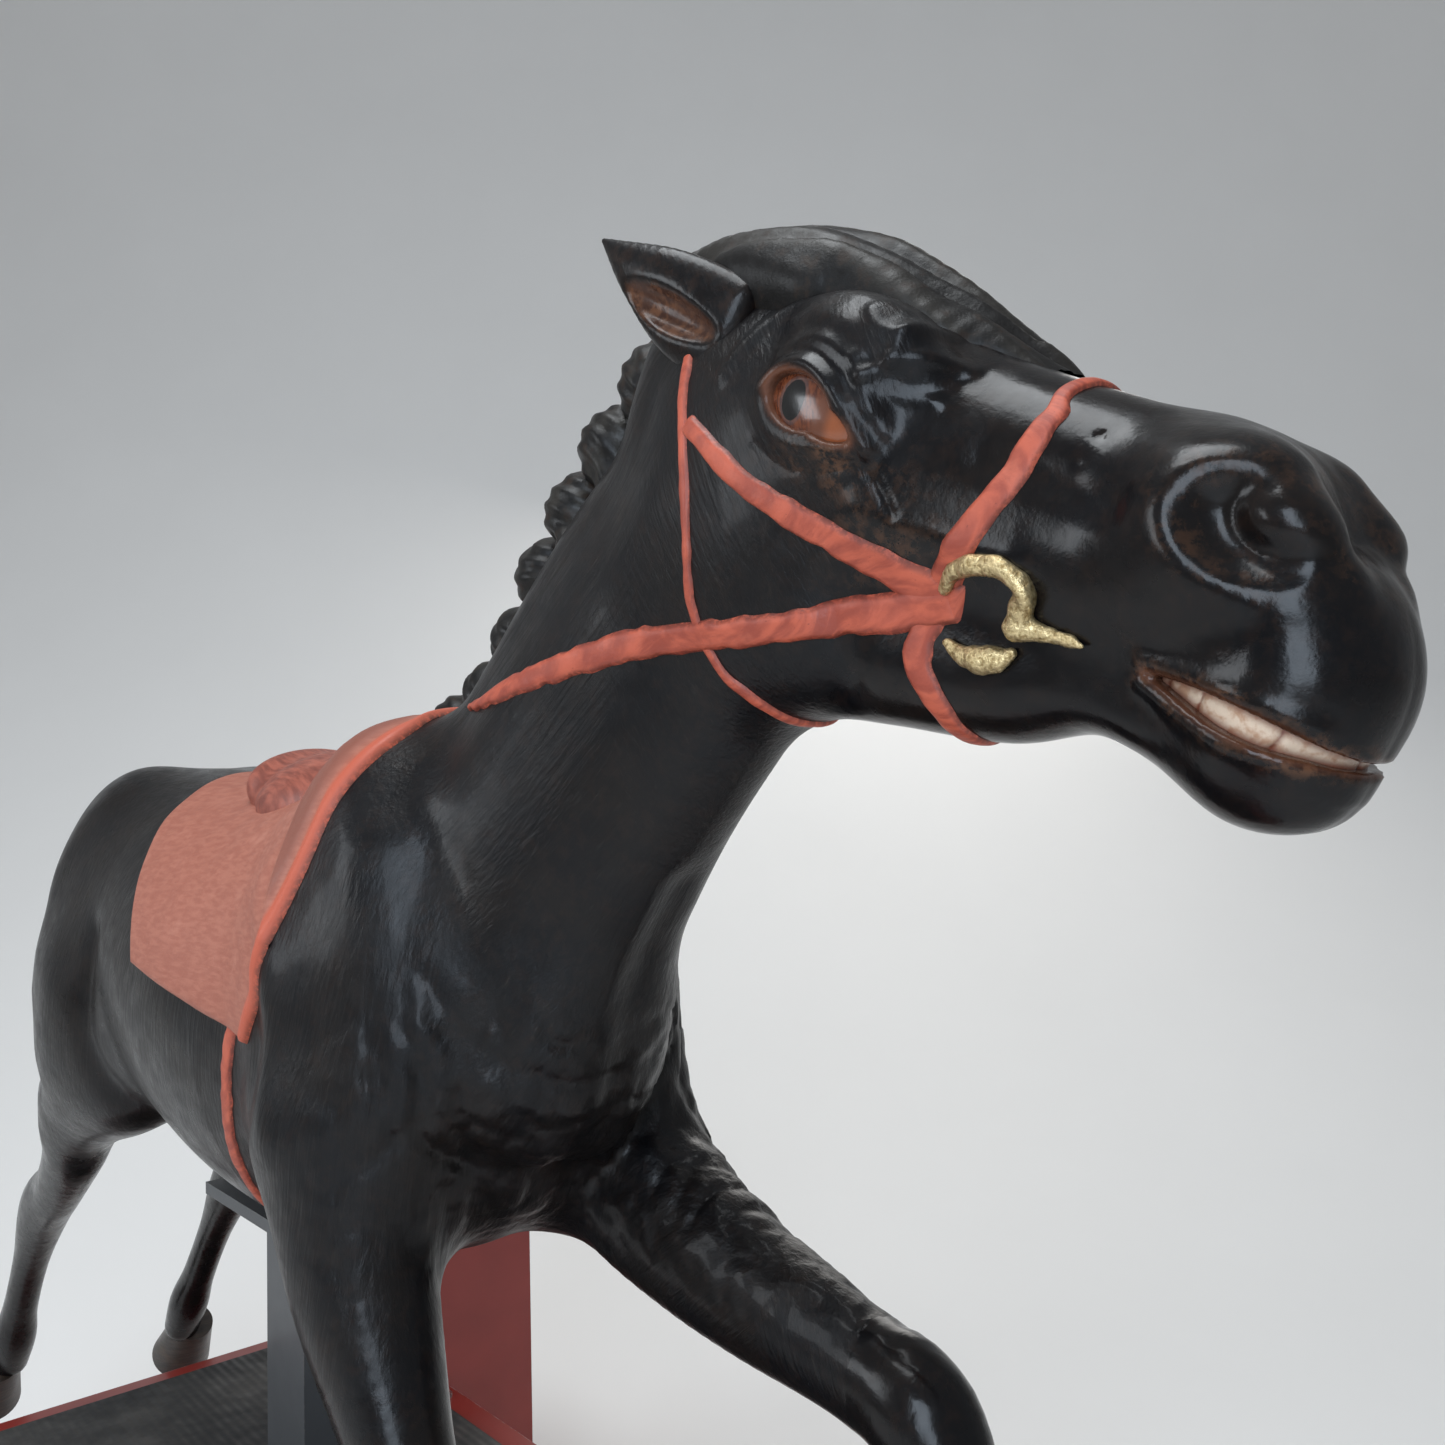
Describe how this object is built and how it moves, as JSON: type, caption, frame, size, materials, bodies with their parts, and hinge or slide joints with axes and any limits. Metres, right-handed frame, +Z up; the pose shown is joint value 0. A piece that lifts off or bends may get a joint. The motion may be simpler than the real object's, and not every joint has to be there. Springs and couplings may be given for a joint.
{
  "type": "kiddie ride machine",
  "caption": "Coin-operated galloping horse ride: moulded horse with moulded bridle and saddle on a rocking post, over a steel cabinet with motor, belt, gears, crank and coin box.",
  "frame": {"origin": "on the floor, at the centre of the four anchor holes", "axes": "+X the way the horse faces, +Y its left side, +Z up"},
  "size_m": [1.2738, 0.592, 1.0303],
  "materials": {
    "rubber": "matte",
    "frame_enamel": "satin",
    "cast_iron": "rough",
    "cabinet_enamel": "gloss",
    "deck_steel": "gloss",
    "steel": "satin",
    "black_plastic": "matte",
    "grey_plastic": "matte",
    "motor_enamel": "satin",
    "red_plastic": "gloss",
    "horse_black": "semi-gloss",
    "hoof_brown": "semi-gloss",
    "eye_brown": "gloss",
    "tooth_ivory": "gloss",
    "tack_terracotta": "satin",
    "blanket_salmon": "satin",
    "saddle_red_brown": "satin",
    "bit_gold": "rough"
  },
  "bodies": {
    "cabinet": {"floor_pads": "rubber", "base_frame": "frame_enamel", "mechanism_plate": "frame_enamel", "pillow_blocks": "cast_iron", "right_panel": "cabinet_enamel", "left_panel": "cabinet_enamel", "front_panel": "cabinet_enamel", "rear_panel": "cabinet_enamel", "deck_plate": "deck_steel", "deck_mat": "rubber", "deck_screws": "steel", "coin_box_shell": "cabinet_enamel", "coin_plate": "steel", "coin_mechanism": "black_plastic", "motor_body": "motor_enamel", "drive_belt": "rubber", "shaft_bearings": "cast_iron", "timer_box": "grey_plastic", "power_inlet": "black_plastic"},
    "motor_rotor": {"motor_shaft": "steel", "motor_pulley": "cast_iron"},
    "jackshaft_group": {"jackshaft": "steel", "driven_pulley": "cast_iron", "pinion": "steel"},
    "crank_group": {"crankshaft": "steel", "bull_gear": "steel", "crank_arm": "cast_iron"},
    "ride": {"rocker_frame": "frame_enamel", "pivot_shaft": "steel", "pedestal_post": "frame_enamel", "slot_cover": "frame_enamel", "armature": "frame_enamel", "torso_shell_left": "horse_black", "torso_shell_right": "horse_black", "neck_head_shell_left": "horse_black", "neck_head_shell_right": "horse_black", "foreleg_left": "horse_black", "foreleg_right": "horse_black", "hind_leg_left": "horse_black", "hind_leg_right": "horse_black", "hooves": "hoof_brown", "eyes": "eye_brown", "ears": "horse_black", "teeth": "tooth_ivory", "mane": "horse_black", "forelock": "horse_black", "tail": "horse_black", "noseband": "tack_terracotta", "cheekpieces": "tack_terracotta", "throatlatch": "tack_terracotta", "reins": "tack_terracotta", "bit_rings": "bit_gold", "saddle_blanket": "blanket_salmon", "girth_strap": "tack_terracotta", "saddle": "saddle_red_brown"},
    "rod": {"connecting_rod": "steel"},
    "door": {"service_door": "cabinet_enamel"},
    "drawer": {"cash_drawer": "cabinet_enamel"},
    "coin_return": {"coin_return_button": "steel"},
    "start": {"start_button": "red_plastic"}
  },
  "joints": [
    {"name": "crank_spin", "type": "hinge", "parent": "cabinet", "child": "crank_group", "pos_m": [-0.2, 0.034, 0.088], "axis": [0, 1, 0], "continuous": true},
    {"name": "jackshaft_spin", "type": "hinge", "parent": "cabinet", "child": "jackshaft_group", "pos_m": [-0.26475, 0.034, 0.088], "axis": [0, 1, 0], "continuous": true},
    {"name": "motor_spin", "type": "hinge", "parent": "cabinet", "child": "motor_rotor", "pos_m": [-0.382, 0.096, 0.104], "axis": [0, 1, 0], "continuous": true},
    {"name": "rocker_pivot", "type": "hinge", "parent": "cabinet", "child": "ride", "pos_m": [0, 0, 0.2], "axis": [0, 1, 0], "range_deg": [-6, 6]},
    {"name": "rod_pivot", "type": "hinge", "parent": "ride", "child": "rod", "pos_m": [-0.2, -0.016, 0.2], "axis": [0, 1, 0], "range_deg": [-6, 6]},
    {"name": "door_hinge", "type": "hinge", "parent": "cabinet", "child": "door", "pos_m": [0.09, -0.2333, 0.14], "axis": [0, 0, -1], "range_deg": [0, 100]},
    {"name": "drawer_slide", "type": "slide", "parent": "cabinet", "child": "drawer", "axis": [0, 1, 0], "range_m": [0, 0.085]},
    {"name": "coin_return_press", "type": "slide", "parent": "cabinet", "child": "coin_return", "axis": [0, -1, 0], "range_m": [0, 0.004], "stiffness_N_per_m": 400, "springref_m": -0.002},
    {"name": "start_press", "type": "slide", "parent": "cabinet", "child": "start", "axis": [0, -1, 0], "range_m": [0, 0.004], "stiffness_N_per_m": 400, "springref_m": -0.002}
  ],
  "couplings": [
    {"joint": "jackshaft_spin", "follows": "crank_spin", "ratio": -4.2857},
    {"joint": "motor_spin", "follows": "crank_spin", "ratio": -16.071},
    {"joint": "rod_pivot", "follows": "rocker_pivot", "ratio": -1}
  ]
}
